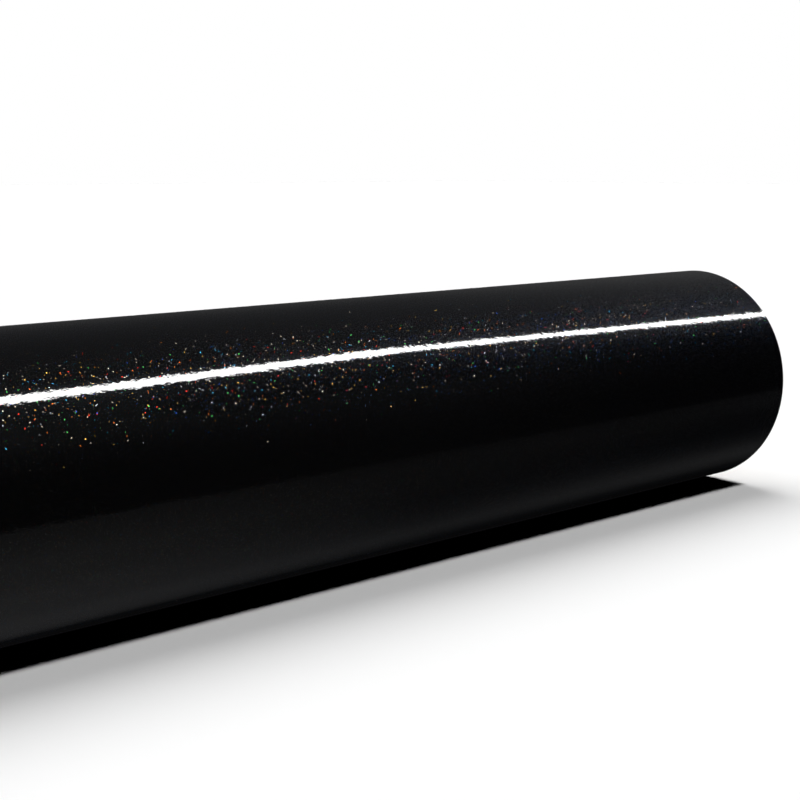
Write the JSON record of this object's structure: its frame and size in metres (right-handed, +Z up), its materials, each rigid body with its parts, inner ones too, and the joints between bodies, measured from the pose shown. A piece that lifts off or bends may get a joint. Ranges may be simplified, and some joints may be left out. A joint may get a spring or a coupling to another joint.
{
  "type": "roll of sign vinyl",
  "caption": "Roll of self-adhesive sign vinyl, gloss black with coloured flake, wound film-side out with its release liner on a paperboard core; the taped tail lifts and peels.",
  "frame": {"origin": "on the axis of the core's bore, at mid length of the roll", "axes": "+X along the roll's axis towards its right-hand end, +Z up with the roll lying on its side, +Y towards the back, where the tail lies"},
  "size_m": [0.6126, 0.1103, 0.1097],
  "materials": {
    "film": "high-gloss clear top over a black film with multicolour flake",
    "liner": "coated release paper, satin",
    "core_board": "glued paperboard plies, matte",
    "core_paper": "smooth kraft paper, matte",
    "label": "plain coated label paper, satin",
    "starter_tape": "double-sided tissue tape",
    "tab_tape": "creped paper tape, matte"
  },
  "bodies": {
    "roll": {"core_inner_ply": "core_paper", "core_board_plies": "core_board", "core_outer_ply": "core_paper", "core_label": "label", "starter_tape": "starter_tape", "wound_pack": "film", "outer_turn_liner": "liner", "outer_turn_film": "film"},
    "tail": {"tail_film": "film", "tail_liner": "liner", "tab_left_base": "tab_tape", "tab_middle_base": "tab_tape", "tab_right_base": "tab_tape"},
    "peeled_liner": {"peeling_liner": "liner"},
    "tab_left": {"tab_left_end": "tab_tape"},
    "tab_middle": {"tab_middle_end": "tab_tape"},
    "tab_right": {"tab_right_end": "tab_tape"}
  },
  "joints": [
    {"name": "tail_lift", "type": "hinge", "parent": "roll", "child": "tail", "pos_m": [0, 0.01438, 0.05368], "axis": [1, 0, 0], "range_deg": [0, 80]},
    {"name": "liner_peel", "type": "hinge", "parent": "tail", "child": "peeled_liner", "pos_m": [0, 0.04108, 0.03676], "axis": [1, 0, 0], "range_deg": [-40, 0]},
    {"name": "tab_left_peel", "type": "hinge", "parent": "tail", "child": "tab_left", "pos_m": [-0.2198, 0.05517, 0.00775], "axis": [1, 0, 0], "range_deg": [0, 140]},
    {"name": "tab_middle_peel", "type": "hinge", "parent": "tail", "child": "tab_middle", "pos_m": [0, 0.05517, 0.00775], "axis": [1, 0, 0], "range_deg": [0, 140]},
    {"name": "tab_right_peel", "type": "hinge", "parent": "tail", "child": "tab_right", "pos_m": [0.2198, 0.05517, 0.00775], "axis": [1, 0, 0], "range_deg": [0, 140]}
  ],
  "couplings": [
    {"joint": "liner_peel", "follows": "tail_lift", "ratio": -0.45}
  ]
}
